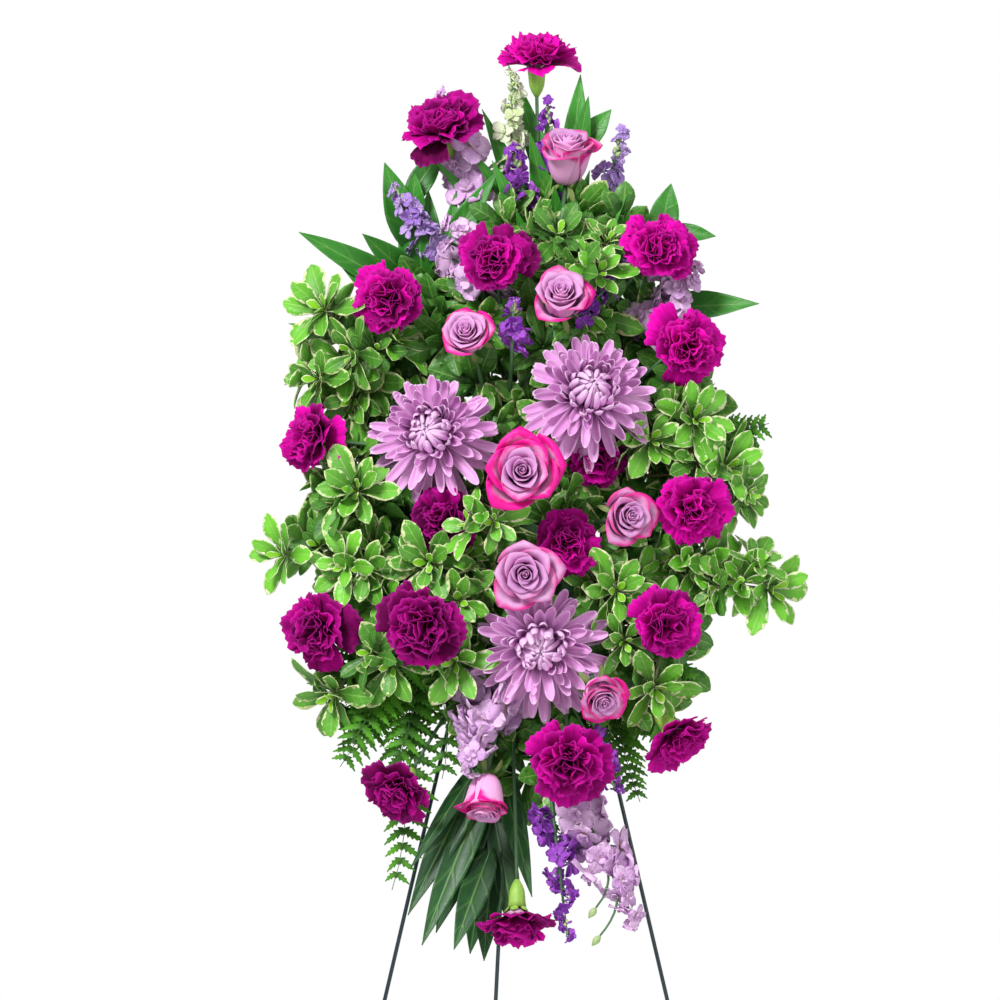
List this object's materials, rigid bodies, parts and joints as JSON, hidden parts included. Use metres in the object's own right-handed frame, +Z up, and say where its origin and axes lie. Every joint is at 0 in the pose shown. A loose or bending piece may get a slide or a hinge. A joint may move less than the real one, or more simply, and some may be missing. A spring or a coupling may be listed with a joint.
{
  "type": "standing funeral spray",
  "caption": "Standing spray of carnations, roses, chrysanthemums, larkspur, stock and greens in caged floral foam, on a folding three-legged wire easel.",
  "frame": {"origin": "on the floor at the middle of the easel's three feet", "axes": "+Z up, -Y to the front, +X to the right as seen from the front"},
  "size_m": [0.5708, 0.6633, 1.5823],
  "materials": {
    "easel_wire": "semi-gloss baked enamel",
    "tie_wire": "satin",
    "cage_plastic": "moulded",
    "floral_foam": "open-cell, soaked",
    "carnation_petal": "velvety",
    "rose_petal": "satin",
    "chrysanthemum_petal": "satin",
    "larkspur_floret": "matt",
    "stock_floret": "matt",
    "ruscus_leaf": "waxy",
    "pittosporum_leaf": "satin",
    "fern_leaflet": "satin"
  },
  "bodies": {
    "stand": {"easel_leg_left": "easel_wire", "easel_leg_right": "easel_wire", "easel_shelf": "easel_wire", "cage_tie": "tie_wire", "foam_block": "floral_foam", "foam_cage": "cage_plastic", "carnation_01": "carnation_petal", "carnation_02": "carnation_petal", "carnation_03": "carnation_petal", "carnation_04": "carnation_petal", "carnation_05": "carnation_petal", "carnation_06": "carnation_petal", "carnation_07": "carnation_petal", "carnation_08": "carnation_petal", "carnation_09": "carnation_petal", "carnation_10": "carnation_petal", "carnation_11": "carnation_petal", "carnation_12": "carnation_petal", "carnation_13": "carnation_petal", "carnation_14": "carnation_petal", "carnation_15": "carnation_petal", "carnation_16": "carnation_petal", "carnation_17": "carnation_petal", "carnation_18": "carnation_petal", "rose_01": "rose_petal", "rose_02": "rose_petal", "rose_03": "rose_petal", "rose_04": "rose_petal", "rose_05": "rose_petal", "rose_06": "rose_petal", "rose_07": "rose_petal", "rose_08": "rose_petal", "chrysanthemum_01": "chrysanthemum_petal", "chrysanthemum_02": "chrysanthemum_petal", "chrysanthemum_03": "chrysanthemum_petal", "larkspur_01": "larkspur_floret", "larkspur_02": "larkspur_floret", "larkspur_03": "larkspur_floret", "larkspur_04": "larkspur_floret", "larkspur_05": "larkspur_floret", "larkspur_06": "larkspur_floret", "stock_01": "stock_floret", "stock_02": "stock_floret", "stock_03": "stock_floret", "stock_04": "stock_floret", "ruscus_01": "ruscus_leaf", "ruscus_02": "ruscus_leaf", "ruscus_03": "ruscus_leaf", "ruscus_04": "ruscus_leaf", "pittosporum_01": "pittosporum_leaf", "pittosporum_02": "pittosporum_leaf", "pittosporum_03": "pittosporum_leaf", "pittosporum_04": "pittosporum_leaf", "pittosporum_05": "pittosporum_leaf", "pittosporum_06": "pittosporum_leaf", "pittosporum_07": "pittosporum_leaf", "fern_01": "fern_leaflet", "fern_02": "fern_leaflet", "fern_03": "fern_leaflet"},
    "rear_leg": {"easel_leg_rear": "easel_wire"}
  },
  "joints": [
    {"name": "rear_leg_fold", "type": "hinge", "parent": "stand", "child": "rear_leg", "pos_m": [0, -0.07045, 1.219], "axis": [1, 0, 0], "range_deg": [-28, 0]}
  ]
}
